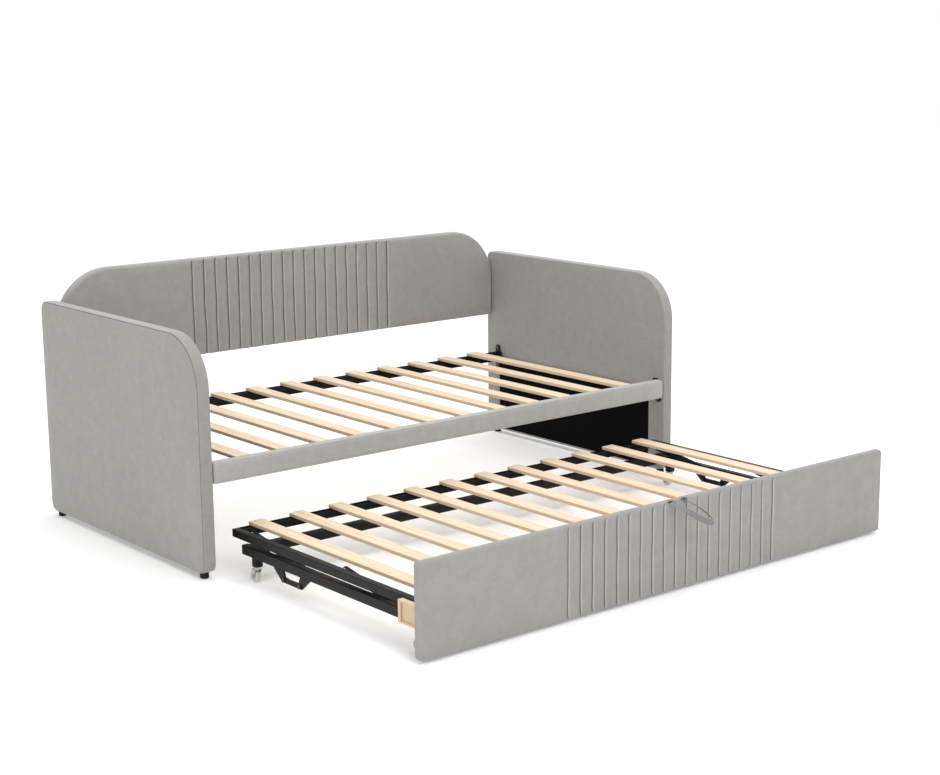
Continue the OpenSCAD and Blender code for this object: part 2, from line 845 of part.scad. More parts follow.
on_side(LEFT) arm_board();  // left_arm_board
on_side(RIGHT) arm_board();  // right_arm_board
on_side(LEFT) arm_cover();  // left_arm_cover
on_side(RIGHT) arm_cover();  // right_arm_cover
on_side(LEFT) arm_lining();  // left_arm_lining
on_side(RIGHT) arm_lining();  // right_arm_lining
back_board();
back_cover();
back_lining();
back_end_plates();
front_rail_board();
front_rail_cover();
front_ledge();
rear_rail();
corner_brackets();
frame_bolts();
arm_feet();
daybed_slats();
daybed_grip_strips();

on_side(LEFT) base_side_rail();  // base_side_rail_left
on_side(RIGHT) base_side_rail();  // base_side_rail_right
base_cross_rail(base_y1 - 6 - cross_rail_w);  // base_rear_rail
base_cross_rail(base_y0);  // base_front_rail
base_end_caps();
caster_posts();
on_side(LEFT) handle_bracket();  // handle_bracket_left
on_side(RIGHT) handle_bracket();  // handle_bracket_right
handle_bolts();
base_pivot_pins();

on_side(LEFT) rear_lift_arm();  // rear_lift_arm_left
on_side(RIGHT) rear_lift_arm();  // rear_lift_arm_right
on_side(LEFT) front_lift_arm();  // front_lift_arm_left
on_side(RIGHT) front_lift_arm();  // front_lift_arm_right

on_side(LEFT) deck_side_rail();  // deck_side_rail_left
on_side(RIGHT) deck_side_rail();  // deck_side_rail_right
deck_rear_rail();
deck_front_rail();
deck_end_caps();
deck_pivot_pins();
trundle_slats();
trundle_grip_strips();
panel_batten();
panel_blocks();
panel_bolts();
panel_board();
panel_cover();
panel_lining();
pull_strap();

at_caster(LEFT, REAR) fork();  // fork_rear_left
at_caster(RIGHT, REAR) fork();  // fork_rear_right
at_caster(LEFT, FRONT) fork();  // fork_front_left
at_caster(RIGHT, FRONT) fork();  // fork_front_right
at_caster(LEFT, REAR) axle();  // axle_rear_left
at_caster(RIGHT, REAR) axle();  // axle_rear_right
at_caster(LEFT, FRONT) axle();  // axle_front_left
at_caster(RIGHT, FRONT) axle();  // axle_front_right
at_caster(LEFT, REAR) wheel();  // wheel_rear_left
at_caster(RIGHT, REAR) wheel();  // wheel_rear_right
at_caster(LEFT, FRONT) wheel();  // wheel_front_left
at_caster(RIGHT, FRONT) wheel();  // wheel_front_right
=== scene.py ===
import json
import math

import bmesh
import bpy
from mathutils import Matrix, Vector, noise


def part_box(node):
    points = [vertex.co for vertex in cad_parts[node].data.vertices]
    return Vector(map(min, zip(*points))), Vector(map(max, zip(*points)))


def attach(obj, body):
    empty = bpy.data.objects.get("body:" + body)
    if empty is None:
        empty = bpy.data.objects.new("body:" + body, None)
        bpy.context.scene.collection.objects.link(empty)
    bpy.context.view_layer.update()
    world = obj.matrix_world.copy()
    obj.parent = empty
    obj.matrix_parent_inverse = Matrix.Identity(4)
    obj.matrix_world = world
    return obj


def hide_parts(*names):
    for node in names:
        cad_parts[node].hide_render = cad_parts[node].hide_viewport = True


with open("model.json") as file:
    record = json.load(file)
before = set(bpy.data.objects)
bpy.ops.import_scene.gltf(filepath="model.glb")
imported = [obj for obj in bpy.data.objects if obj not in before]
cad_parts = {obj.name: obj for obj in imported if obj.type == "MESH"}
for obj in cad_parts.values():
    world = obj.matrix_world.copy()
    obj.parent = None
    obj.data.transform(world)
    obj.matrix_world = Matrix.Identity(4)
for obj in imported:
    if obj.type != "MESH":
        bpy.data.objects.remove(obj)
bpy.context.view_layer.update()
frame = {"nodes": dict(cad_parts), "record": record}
nodes = frame["nodes"]
mm = 0.001
print("frame loaded,", len(nodes), "nodes")


# camera, light and floor

cameraView = {
    "place": (-3.668, -4.481, 1.656),
    "azimuth": -39.21,   # degrees from +Y, to the left
    "elevation": 11.5,
    "roll": -0.53,
    "lens": 68.1,        # on a 36 mm wide sensor
}


def addCamera(view):
    camera = bpy.data.cameras.new("studioCamera")
    camera.lens = view["lens"]
    camera.sensor_width = 36
    camera.clip_end = 60
    eye = bpy.data.objects.new("studioCamera", camera)
    bpy.context.scene.collection.objects.link(eye)
    turn = Matrix.Rotation(math.radians(view["azimuth"]), 4, "Z")
    tilt = Matrix.Rotation(math.radians(90 - view["elevation"]), 4, "X")
    roll = Matrix.Rotation(math.radians(view["roll"]), 4, "Z")
    eye.matrix_world = Matrix.Translation(view["place"]) @ turn @ tilt @ roll
    bpy.context.scene.camera = eye


def addSoftbox(name, place, target, size, power, colour=(1, 1, 1)):
    lamp = bpy.data.lights.new(name, "AREA")
    lamp.shape = "RECTANGLE"
    lamp.size = size[0]
    lamp.size_y = size[1]
    lamp.energy = power
    lamp.color = colour
    box = bpy.data.objects.new(name, lamp)
    bpy.context.scene.collection.objects.link(box)
    box.location = place
    box.rotation_euler = (Vector(target) - Vector(place)).to_track_quat("-Z", "Y").to_euler()


def addStudio():
    world = bpy.data.worlds.new("studioWorld")
    bpy.context.scene.world = world
    world.use_nodes = True
    background = world.node_tree.nodes["Background"]
    background.inputs["Color"].default_value = (1.0, 1.0, 1.0, 1)
    background.inputs["Strength"].default_value = 1.0
    addSoftbox("frontBox", (-1.6, -5.2, 3.6), (0, -0.2, 0.3), (3.2, 2.2), 100)
    addSoftbox("leftBox", (-5.2, -0.4, 1.5), (-1, 0.5, 0.3), (2.6, 2.0), 26)
    addSoftbox("topBox", (0.6, 0.4, 4.6), (0, 0, 0.3), (3.6, 3.0), 110, (1.0, 0.985, 0.96))
    view = bpy.context.scene.view_settings
    view.view_transform = "Standard"
    view.look = "None"


def addFloor():
    bpy.ops.mesh.primitive_plane_add(size=40, location=(0, 0, 0))
    floor = bpy.context.object
    floor.name = "studioFloor"
    paper = bpy.data.materials.new("palePaper")
    paper.use_nodes = True
    shader = paper.node_tree.nodes["Principled BSDF"]
    shader.inputs["Base Color"].default_value = (0.95, 0.95, 0.95, 1)
    shader.inputs["Roughness"].default_value = 0.9
    shader.inputs["Emission Color"].default_value = (1.0, 1.0, 1.0, 1)
    shader.inputs["Emission Strength"].default_value = 0.07
    floor.data.materials.append(paper)


addCamera(cameraView)
addStudio()
addFloor()
print("camera, lights and floor set")


# shader groups

def newGroup(name, inputs, outputs):
    group = bpy.data.node_groups.new(name, "ShaderNodeTree")
    for label, kind, value in inputs:
        socket = group.interface.new_socket(label, in_out="INPUT", socket_type=kind)
        if value is not None:
            socket.default_value = value
    for label, kind in outputs:
        group.interface.new_socket(label, in_out="OUTPUT", socket_type=kind)
    return group, group.nodes.new("NodeGroupInput"), group.nodes.new("NodeGroupOutput")


def addMath(tree, operation, first, second=None, clamp=False):
    step = tree.nodes.new("ShaderNodeMath")
    step.operation = operation
    step.use_clamp = clamp
    for index, value in enumerate((first, second)):
        if value is None:
            continue
        if isinstance(value, (int, float)):
            step.inputs[index].default_value = value
        else:
            tree.links.new(value, step.inputs[index])
    return step.outputs[0]


def addBlend(tree, first, second, share):
    # share of the first, and the rest of the second
    second = addMath(tree, "MULTIPLY", second, 1 - share)
    return addMath(tree, "ADD", addMath(tree, "MULTIPLY", first, share), second)


def addNoise(tree, vector, scale, detail=2.0, roughness=0.5, distortion=0.0):
    cloud = tree.nodes.new("ShaderNodeTexNoise")
    cloud.inputs["Detail"].default_value = detail
    cloud.inputs["Roughness"].default_value = roughness
    cloud.inputs["Distortion"].default_value = distortion
    if isinstance(scale, (int, float)):
        cloud.inputs["Scale"].default_value = scale
    else:
        tree.links.new(scale, cloud.inputs["Scale"])
    tree.links.new(vector, cloud.inputs["Vector"])
    return cloud.outputs["Fac"]


def addStretch(tree, vector, scale):
    stretch = tree.nodes.new("ShaderNodeMapping")
    stretch.inputs["Scale"].default_value = scale
    tree.links.new(vector, stretch.inputs["Vector"])
    return stretch.outputs["Vector"]


def addMix(tree, factor, first, second, blend="MIX"):
    mix = tree.nodes.new("ShaderNodeMix")
    mix.data_type = "RGBA"
    mix.blend_type = blend
    for socket, value in ((mix.inputs["Factor"], factor), (mix.inputs[6], first), (mix.inputs[7], second)):
        if isinstance(value, bpy.types.NodeSocket):
            tree.links.new(value, socket)
        elif isinstance(value, (int, float)):
            socket.default_value = value
        else:
            socket.default_value = (*value, 1)
    return mix.outputs[2]


def addSpan(tree, value, low, high, outLow=0.0, outHigh=1.0):
    span = tree.nodes.new("ShaderNodeMapRange")
    span.interpolation_type = "SMOOTHSTEP"
    tree.links.new(value, span.inputs["Value"])
    for label, number in (("From Min", low), ("From Max", high), ("To Min", outLow), ("To Max", outHigh)):
        span.inputs[label].default_value = number
    return span.outputs["Result"]


def buildPileGroup():
    group, enter, leave = newGroup(
        "velvetPile",
        [("Vector", "NodeSocketVector", None), ("Patch Scale", "NodeSocketFloat", 28.0)],
        [("Nap", "NodeSocketFloat"), ("Height", "NodeSocketFloat")])
    place = enter.outputs["Vector"]
    patches = addNoise(group, place, enter.outputs["Patch Scale"], 5.0, 0.62, 0.7)
    broad = addNoise(group, place, 2.3, 2.0)
    brushed = addNoise(group, addStretch(group, place, (46, 46, 7)), 1.0, 3.0, 0.6, 0.4)
    flecks = addNoise(group, place, 110.0, 3.0, 0.7)
    nap = addMath(group, "MULTIPLY", patches, 0.46)
    for cloud, share in ((broad, 0.22), (brushed, 0.12), (flecks, 0.2)):
        nap = addMath(group, "ADD", nap, addMath(group, "MULTIPLY", cloud, share))
    group.links.new(addSpan(group, nap, 0.36, 0.64), leave.inputs["Nap"])
    tufts = addNoise(group, place, 950.0, 2.0, 0.7)
    crush = addNoise(group, place, 60.0, 3.0, 0.6, 0.5)
    group.links.new(addBlend(group, tufts, crush, 0.4), leave.inputs["Height"])
    return group


def buildGrainGroup():
    group, enter, leave = newGroup(
        "woodGrain",
        [("Vector", "NodeSocketVector", None), ("Rings", "NodeSocketFloat", 85.0)],
        [("Grain", "NodeSocketFloat"), ("Pores", "NodeSocketFloat"), ("Height", "NodeSocketFloat")])
    place = enter.outputs["Vector"]
    rings = addNoise(group, addStretch(group, place, (1, 0.05, 1)), enter.outputs["Rings"], 3.0, 0.55, 0.5)
    pores = addNoise(group, addStretch(group, place, (1, 0.02, 1)), 620.0, 2.0, 0.6)
    group.links.new(addSpan(group, rings, 0.34, 0.68), leave.inputs["Grain"])
    group.links.new(addSpan(group, pores, 0.5, 0.75), leave.inputs["Pores"])
    group.links.new(addBlend(group, rings, pores, 0.6), leave.inputs["Height"])
    return group


def buildHandlingGroup():
    # smudges and dust that handling leaves on steel, plating and plastic
    group, enter, leave = newGroup(
        "handlingMarks",
        [("Vector", "NodeSocketVector", None), ("Grit Scale", "NodeSocketFloat", 700.0)],
        [("Smudge", "NodeSocketFloat"), ("Dust", "NodeSocketFloat"), ("Height", "NodeSocketFloat")])
    place = enter.outputs["Vector"]
    smudge = addNoise(group, place, 22.0, 4.0, 0.6, 0.8)
    dust = addNoise(group, place, 190.0, 3.0, 0.75)
    group.links.new(addSpan(group, smudge, 0.38, 0.66), leave.inputs["Smudge"])
    group.links.new(addSpan(group, dust, 0.58, 0.8), leave.inputs["Dust"])
    group.links.new(addNoise(group, place, enter.outputs["Grit Scale"], 1.0), leave.inputs["Height"])
    return group


pileGroup = buildPileGroup()
grainGroup = buildGrainGroup()
handlingGroup = buildHandlingGroup()


# materials

def newMaterial(name):
    material = bpy.data.materials.new(name)
    material.use_nodes = True
    tree = material.node_tree
    shader = tree.nodes["Principled BSDF"]
    return material, tree, shader, tree.nodes.new("ShaderNodeTexCoord").outputs["Object"]


def addGroup(tree, group, vector, values=None):
    step = tree.nodes.new("ShaderNodeGroup")
    step.node_tree = group
    tree.links.new(vector, step.inputs["Vector"])
    for label, number in (values or {}).items():
        step.inputs[label].default_value = number
    return step


def addBump(tree, shader, height, distance, strength=1.0, under=None):
    bump = tree.nodes.new("ShaderNodeBump")
    bump.inputs["Distance"].default_value = distance
    bump.inputs["Strength"].default_value = strength
    tree.links.new(height, bump.inputs["Height"])
    if under is not None:
        tree.links.new(under, bump.inputs["Normal"])
    tree.links.new(bump.outputs["Normal"], shader.inputs["Normal"])
    return bump.outputs["Normal"]


velvetLook = {
    "deep": (0.252, 0.247, 0.232),
    "pale": (0.282, 0.277, 0.261),
    # painted shade in and beside the seams
    "paintedShading": (0.085, 0.083, 0.078),
    "paintedGlint": (0.58, 0.575, 0.56),      # painted highlight beside a seam, standing in for light from one side
    # near-black painted shadow inside the strap slots
    "slot": (0.004, 0.004, 0.004),
    "sheen": 0.3,
}


def velvetMaterial(name, look):
    material, tree, shader, place = newMaterial(name)
    pile = addGroup(tree, pileGroup, place)
    paintedShading = tree.nodes.new("ShaderNodeAttribute")
    paintedShading.attribute_name = "paintedShading"
    cloth = addMix(tree, pile.outputs["Nap"], look["deep"], look["pale"])
    # painted shade where the shading attribute is positive, a painted highlight where it is negative, and a
    # painted shadow in the strap slots where it passes 1
    cloth = addMix(tree, addMath(tree, "MULTIPLY", paintedShading.outputs["Fac"], 1.0, True), cloth, look["paintedShading"])
    cloth = addMix(tree, addMath(tree, "MULTIPLY", paintedShading.outputs["Fac"], -1.0, True), cloth, look["paintedGlint"])
    cloth = addMix(tree, addMath(tree, "SUBTRACT", paintedShading.outputs["Fac"], 1.0, True), cloth, look["slot"])
    tree.links.new(cloth, shader.inputs["Base Color"])
    tree.links.new(addSpan(tree, pile.outputs["Nap"], 0, 1, 0.95, 0.8), shader.inputs["Roughness"])
    shader.inputs["Sheen Weight"].default_value = look["sheen"]
    shader.inputs["Sheen Roughness"].default_value = 0.4
    shader.inputs["Specular IOR Level"].default_value = 0.25
    addBump(tree, shader, pile.outputs["Height"], 0.0009, 0.8)
    return material


def liningMaterial():
    material, tree, shader, place = newMaterial("blackLining")
    fibres = addNoise(tree, place, 420.0, 4.0, 0.8)
    bonds = tree.nodes.new("ShaderNodeTexVoronoi")
    bonds.inputs["Scale"].default_value = 520.0
    tree.links.new(place, bonds.inputs["Vector"])
    black = addMix(tree, fibres, (0.0012, 0.0012, 0.0013), (0.0035, 0.0035, 0.0038))
    tree.links.new(black, shader.inputs["Base Color"])
    tree.links.new(addSpan(tree, fibres, 0.3, 0.7, 0.82, 0.98), shader.inputs["Roughness"])
    shader.inputs["Specular IOR Level"].default_value = 0.06
    addBump(tree, shader, bonds.outputs["Distance"], 0.0004, 0.6)
    return material


slatLook = {
    "pale": (0.735, 0.625, 0.48),
    "dark": (0.63, 0.50, 0.355),
    "edge": (0.49, 0.355, 0.22),
    "pitch": 0.15,       # spacing of the boards that get tones of their own
}


def pineMaterial(name, look, turn=(0, 0, 0)):
    material, tree, shader, place = newMaterial(name)
    board = tree.nodes.new("ShaderNodeSeparateXYZ")
    tree.links.new(place, board.inputs[0])
    number = addMath(tree, "ADD", addMath(tree, "DIVIDE", board.outputs[0], look["pitch"]), 0.5)
    number = addMath(tree, "ROUND", number)
    tone = tree.nodes.new("ShaderNodeTexWhiteNoise")
    tone.noise_dimensions = "1D"
    tree.links.new(number, tone.inputs["W"])
    shift = tree.nodes.new("ShaderNodeCombineXYZ")
    tree.links.new(addMath(tree, "MULTIPLY", number, 1.7), shift.inputs[1])
    moved = tree.nodes.new("ShaderNodeVectorMath")
    tree.links.new(place, moved.inputs[0])
    tree.links.new(shift.outputs[0], moved.inputs[1])
    turned = tree.nodes.new("ShaderNodeMapping")
    turned.inputs["Rotation"].default_value = turn
    tree.links.new(moved.outputs[0], turned.inputs["Vector"])
    grain = addGroup(tree, grainGroup, turned.outputs["Vector"])
    wood = addMix(tree, grain.outputs["Grain"], look["dark"], look["pale"])
    wood = addMix(tree, addMath(tree, "MULTIPLY", tone.outputs["Value"], 0.35), wood, look["dark"])
    wood = addMix(tree, addMath(tree, "MULTIPLY", grain.outputs["Pores"], 0.25), wood, look["edge"])
    facing = tree.nodes.new("ShaderNodeSeparateXYZ")
    tree.links.new(tree.nodes.new("ShaderNodeNewGeometry").outputs["Normal"], facing.inputs[0])
    # faces that don't face up or down take the darker, more orange edge colour
    sideFacing = addSpan(tree, addMath(tree, "ABSOLUTE", facing.outputs[2]), 0.85, 0.35, 0.0, 0.75)
    tree.links.new(addMix(tree, sideFacing, wood, look["edge"]), shader.inputs["Base Color"])
    tree.links.new(addSpan(tree, grain.outputs["Grain"], 0, 1, 0.62, 0.5), shader.inputs["Roughness"])
    addBump(tree, shader, grain.outputs["Height"], 0.0004, 0.5)
    return material


def boardMaterial():
    material, tree, shader, place = newMaterial("rawBoard")
    chips = tree.nodes.new("ShaderNodeTexVoronoi")
    chips.inputs["Scale"].default_value = 260.0
    tree.links.new(addStretch(tree, place, (1, 1, 2.4)), chips.inputs["Vector"])
    dust = addNoise(tree, place, 90.0, 4.0, 0.7)
    colour = addMix(tree, dust, (0.36, 0.25, 0.15), (0.56, 0.43, 0.28))
    chipped = addSpan(tree, chips.outputs["Distance"], 0.0, 0.5, 0.3, 0.0)
    colour = addMix(tree, chipped, colour, (0.26, 0.17, 0.1))
    tree.links.new(colour, shader.inputs["Base Color"])
    tree.links.new(addSpan(tree, dust, 0.3, 0.7, 0.75, 0.9), shader.inputs["Roughness"])
    addBump(tree, shader, chips.outputs["Distance"], 0.0004, 0.5)
    return material


def handledMaterial(name, look):
    # painted or plated metal and moulded plastic, marked by handling
    material, tree, shader, place = newMaterial(name)
    marks = addGroup(tree, handlingGroup, place, {"Grit Scale": look["grit"]})
    colour = addMix(tree, marks.outputs["Smudge"], look["clean"], look["worn"])
    dust = addMath(tree, "MULTIPLY", marks.outputs["Dust"], look["dust"])
    colour = addMix(tree, dust, colour, (0.45, 0.44, 0.42))
    tree.links.new(colour, shader.inputs["Base Color"])
    rough = addSpan(tree, marks.outputs["Smudge"], 0, 1, look["roughness"][0], look["roughness"][1])
    tree.links.new(rough, shader.inputs["Roughness"])
    shader.inputs["Metallic"].default_value = look["metal"]
    shader.inputs["Specular IOR Level"].default_value = look.get("gloss", 0.5)
    addBump(tree, shader, marks.outputs["Height"], look["bump"], 0.5)
    return material


metalLooks = {
    "blackSteel": {"clean": (0.0035, 0.0034, 0.0036), "worn": (0.010, 0.0098, 0.010), "dust": 0.02,
                   "gloss": 0.16, "roughness": (0.34, 0.5), "metal": 0.0, "grit": 900.0, "bump": 0.0002},
    "blackZinc": {"clean": (0.05, 0.05, 0.052), "worn": (0.09, 0.09, 0.092), "dust": 0.05,
                  "roughness": (0.28, 0.42), "metal": 0.8, "grit": 1500.0, "bump": 0.0001},
    "zincPlate": {"clean": (0.48, 0.48, 0.49), "worn": (0.36, 0.36, 0.36), "dust": 0.1,
                  "roughness": (0.22, 0.38), "metal": 1.0, "grit": 1500.0, "bump": 0.0001},
    "brightChrome": {"clean": (0.46, 0.46, 0.475), "worn": (0.33, 0.33, 0.34), "dust": 0.08,
                     "roughness": (0.1, 0.24), "metal": 1.0, "grit": 500.0, "bump": 0.00004},
    "blackPlastic": {"clean": (0.006, 0.006, 0.0062), "worn": (0.014, 0.014, 0.0145), "dust": 0.04,
                     "gloss": 0.16, "roughness": (0.45, 0.62), "metal": 0.0, "grit": 1300.0, "bump": 0.0002},
}


def wheelMaterial():
    material, tree, shader, place = newMaterial("paleWheel")
    marks = addGroup(tree, handlingGroup, place, {"Grit Scale": 1200.0})
    swirl = addNoise(tree, place, 60.0, 2.0, 0.5, 2.0)
    colour = addMix(tree, swirl, (0.47, 0.455, 0.42), (0.6, 0.585, 0.55))
    colour = addMix(tree, addMath(tree, "MULTIPLY", marks.outputs["Dust"], 0.25), colour, (0.3, 0.28, 0.26))
    tree.links.new(colour, shader.inputs["Base Color"])
    tree.links.new(addSpan(tree, marks.outputs["Smudge"], 0, 1, 0.22, 0.42), shader.inputs["Roughness"])
    shader.inputs["Subsurface Weight"].default_value = 0.35
    shader.inputs["Subsurface Radius"].default_value = (0.006, 0.006, 0.005)
    shader.inputs["Coat Weight"].default_value = 0.3
    addBump(tree, shader, marks.outputs["Height"], 0.0001, 0.4)
    return material


def webbingMaterial():
    # the ribbon's UV map holds metres: across in U and along in V
    material, tree, shader, place = newMaterial("ribbonWebbing")
    strip = tree.nodes.new("ShaderNodeUVMap")
    strip.uv_map = "ribbon"
    sides = tree.nodes.new("ShaderNodeSeparateXYZ")
    tree.links.new(strip.outputs["UV"], sides.inputs[0])
    weft = addMath(tree, "SINE", addMath(tree, "MULTIPLY", sides.outputs[1], 3600.0))
    warp = addMath(tree, "SINE", addMath(tree, "MULTIPLY", sides.outputs[0], 5200.0))
    weave = addMath(tree, "ADD", addMath(tree, "MULTIPLY", weft, 0.32), addMath(tree, "MULTIPLY", warp, 0.18))
    weave = addMath(tree, "ADD", weave, 0.5)
    fade = addNoise(tree, place, 120.0, 3.0)
    colour = addMix(tree, weave, (0.10, 0.098, 0.093), (0.20, 0.197, 0.188))
    colour = addMix(tree, addMath(tree, "MULTIPLY", fade, 0.3), colour, (0.2, 0.196, 0.186))
    tree.links.new(colour, shader.inputs["Base Color"])
    tree.links.new(addSpan(tree, weave, 0, 1, 0.72, 0.5), shader.inputs["Roughness"])
    shader.inputs["Sheen Weight"].default_value = 0.2
    addBump(tree, shader, weave, 0.0003, 0.6)
    return material


velvet = velvetMaterial("greyVelvet", velvetLook)
# on the rail the pile runs the other way; this lighter copy of the velvet paints the brighter look that gives
# under the studio light
lighterRailVelvet = velvetMaterial("greyVelvetPaintedLighter", {
    **velvetLook, "deep": (0.325, 0.321, 0.31), "pale": (0.365, 0.361, 0.349)})
blackLining = liningMaterial()
pineSlats = pineMaterial("sandedPine", slatLook)
pineBattens = pineMaterial("battenPine", {**slatLook, "pitch": 40.0}, (0, 0, math.radians(90)))
rawBoard = boardMaterial()
handled = {name: handledMaterial(name, look) for name, look in metalLooks.items()}
paleWheel = wheelMaterial()
webbing = webbingMaterial()
print("materials built")


# the CAD nodes' finishes

slotFinish = {
    "upholstery": velvet,
    "lining": blackLining,
    "board": rawBoard,
    "slat_wood": pineSlats,
    "black_steel": handled["blackSteel"],
    "bolt_steel": handled["blackZinc"],
    "black_plastic": handled["blackPlastic"],
    "pin_steel": handled["zincPlate"],
    "chrome": handled["brightChrome"],
    "wheel_plastic": paleWheel,
    "webbing": webbing,
}


def finishNodes():
    for row in frame["record"]["subparts"]:
        for slot in nodes[row["node"]].material_slots:
            slot.material = slotFinish[row["material_slot"]]
    for name in ("panel_batten", "panel_blocks"):
        for slot in nodes[name].material_slots:
            slot.material = pineBattens


finishNodes()


# modelling helpers

def selectOnly(piece):
    if bpy.context.object and bpy.context.object.mode != "OBJECT":
        bpy.ops.object.mode_set(mode="OBJECT")
    bpy.ops.object.select_all(action="DESELECT")
    piece.select_set(True)
    bpy.context.view_layer.objects.active = piece


def editPiece(piece, kind="FACE"):
    selectOnly(piece)
    bpy.ops.object.mode_set(mode="EDIT")
    bpy.ops.mesh.select_mode(type=kind)
    bpy.ops.mesh.select_all(action="DESELECT")
    return bmesh.from_edit_mesh(piece.data)


def faceOutwards(piece):
    editPiece(piece)
    bpy.ops.mesh.select_all(action="SELECT")
    bpy.ops.mesh.normals_make_consistent(inside=False)
    bpy.ops.object.mode_set(mode="OBJECT")


def addPiece(name, points, faces):
    mesh = bpy.data.meshes.new(name)
    mesh.from_pydata(points, [], faces)
    piece = bpy.data.objects.new(name, mesh)
    bpy.context.scene.collection.objects.link(piece)
    return piece, mesh


def finishPiece(piece, material, body, replaced):
    piece.data.materials.clear()
    piece.data.materials.append(material)
    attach(piece, body)
    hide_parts(replaced)


def span(low, high, step):
    count = max(1, round((high - low) / step))
    return [low + (high - low) * i / count for i in range(count + 1)]


def smooth(low, high, value):
    t = min(max((value - low) / (high - low), 0.0), 1.0)
    return t * t * (3 - 2 * t)


def hump(distance, width):
    return math.exp(-(distance / width) ** 2)


def ripple(seed, first, second=0.0):
    # a smooth wave between -1 and 1, with another pattern for each seed
    return noise.noise(Vector((first, second, seed * 7.3)))


# padded covers
# A cover is laid out flat: u across, v up and w into the thickness, with w = 0 on its face.
# A grid fills the middle, rings follow the outline round it, and the relief shapes both.

def cornerDrop(toSide, radius):
    if toSide >= radius:
        return 0.0
    return radius - math.sqrt(radius ** 2 - (radius - toSide) ** 2)


def insetOutline(shape, inset):
    sides = (shape["left"] + inset, shape["right"] - inset, shape["bottom"] + inset, shape["top"] - inset)
    return sides, [max(r - inset, 0.0) for r in shape["corners"]]


def outlineHeights(shape, inset, u):
    (left, right, bottom, top), (lowLeft, lowRight, highRight, highLeft) = insetOutline(shape, inset)
    low = bottom + max(cornerDrop(u - left, lowLeft), cornerDrop(right - u, lowRight))
    high = top - max(cornerDrop(u - left, highLeft), cornerDrop(right - u, highRight))
    return low, high


def cornerPlaces(shape, inset):
    (left, right, bottom, top), (lowLeft, lowRight, highRight, highLeft) = insetOutline(shape, inset)
    return (
        (left + lowLeft, bottom + lowLeft, -1, -1, lowLeft),
        (right - lowRight, bottom + lowRight, 1, -1, lowRight),
        (right - highRight, top - highRight, 1, 1, highRight),
        (left + highLeft, top - highLeft, -1, 1, highLeft),
    )


def outwardAt(shape, inset, u, v):
    tiny = 1e-6
    for cu, cv, su, sv, radius in cornerPlaces(shape, inset):
        if radius > tiny and su * (u - cu) > tiny and sv * (v - cv) > tiny:
            return Vector((u - cu, v - cv)).normalized()
    left, right, bottom, top = insetOutline(shape, inset)[0]
    return Vector((
        (u > right - tiny) - (u < left + tiny),
        (v > top - tiny) - (v < bottom + tiny),
    ))


def depthInside(shape, u, v):
    for cu, cv, su, sv, radius in cornerPlaces(shape, 0.0):
        if su * (u - cu) > 0 and sv * (v - cv) > 0:
            return radius - math.hypot(u - cu, v - cv)
    return min(u - shape["left"], shape["right"] - u, v - shape["bottom"], shape["top"] - v)


def edgeRadius(roll, outward):
    way = outward.normalized()
    upDown = roll["top"] if way.y > 0 else roll["bottom"]
    return upDown * way.y ** 2 + roll["side"] * way.x ** 2


def roundOff(distance, radius):
    if distance >= radius:
        return 0.0
    return radius - math.sqrt(max(radius ** 2 - (radius - distance) ** 2, 0.0))


cornerShare = 0.29   # how far an arc of radius 1 stays back from its square corner
heldBelow = 0.03     # a point with less freedom than this is held by the frame


def buildPad(name, pad, relief, place):
    shape, roll, thick = pad["shape"], pad["roll"], pad["thick"]
    rings = pad["rings"]
    inset = rings[0]
    points = []   # u, v, w, distance from the outline, which face
    faces = []
    columns, rows = pad["columns"], pad["rows"]

    def addGrid(w, face):
        first = len(points)
        for u in columns:
            low, high = outlineHeights(shape, inset, u)
            for t in rows:
                v = low + (high - low) * t
                points.append((u, v, w, depthInside(shape, u, v), face))
        for i in range(len(columns) - 1):
            for j in range(len(rows) - 1):
                corner = first + i * len(rows) + j
                faces.append((corner, corner + len(rows), corner + len(rows) + 1, corner + 1))
        across, up = range(len(columns)), range(len(rows))
        loop = [(i, 0) for i in across] + [(across[-1], j) for j in up[1:]]
        loop += [(i, up[-1]) for i in reversed(across[:-1])] + [(0, j) for j in reversed(up[1:-1])]
        return [first + i * len(rows) + j for i, j in loop]

    def bridge(loop, other):
        for k in range(len(loop)):
            n = (k + 1) % len(loop)
            faces.append((loop[k], loop[n], other[n], other[k]))

    frontLoop = addGrid(0.0, "front")
    inner = [points[k][:2] for k in frontLoop]
    ways = [outwardAt(shape, inset, u, v) for u, v in inner]
    radii = [edgeRadius(roll, way) for way in ways]

    def addRing(distance, depthOf, face):
        first = len(points)
        for (u, v), way, radius in zip(inner, ways, radii):
            reach = inset - distance
            if way.length > 1.1:   # a square corner, slightly rounded off at the outline
                reach -= max(pad["cornerR"] - distance, 0.0) * cornerShare
            points.append((u + way.x * reach, v + way.y * reach, depthOf(distance, radius), distance, face))
        return list(range(first, len(points)))

    loop = frontLoop
    for distance in rings[1:]:
        ring = addRing(distance, roundOff, "front")
        bridge(loop, ring)
        loop = ring
    for share in (0.25, 0.5, 0.75):
        ring = addRing(0.0, lambda d, r, s=share: r + (thick - 2 * r) * s, "side")
        bridge(loop, ring)
        loop = ring
    for distance in rings[:0:-pad["rearStep"]]:
        ring = addRing(distance, lambda d, r: thick - roundOff(d, r * pad["backRoll"]), "back")
        bridge(loop, ring)
        loop = ring
    if pad.get("fold"):
        for distance, depth in ((pad["fold"], 0.0), (pad["fold"] + 0.3 * mm, pad["step"])):
            ring = addRing(distance, lambda d, r, s=depth: thick - s, "back")
            bridge(loop, ring)
            loop = ring
    else:
        bridge(loop, addGrid(thick, "back"))

    places, paintedShadings, freedoms = [], [], []
    for u, v, w, distance, face in points:
        du, dw, paintedShading, freedom = relief(u, v, distance, face)
        places.append(place(u + du, v, w + dw))
        paintedShadings.append(paintedShading)
        freedoms.append(freedom)
    piece, mesh = addPiece(name, places, faces)
    mesh.attributes.new("paintedShading", "FLOAT", "POINT").data.foreach_set("value", paintedShadings)
    faceOutwards(piece)
    return piece, freedoms


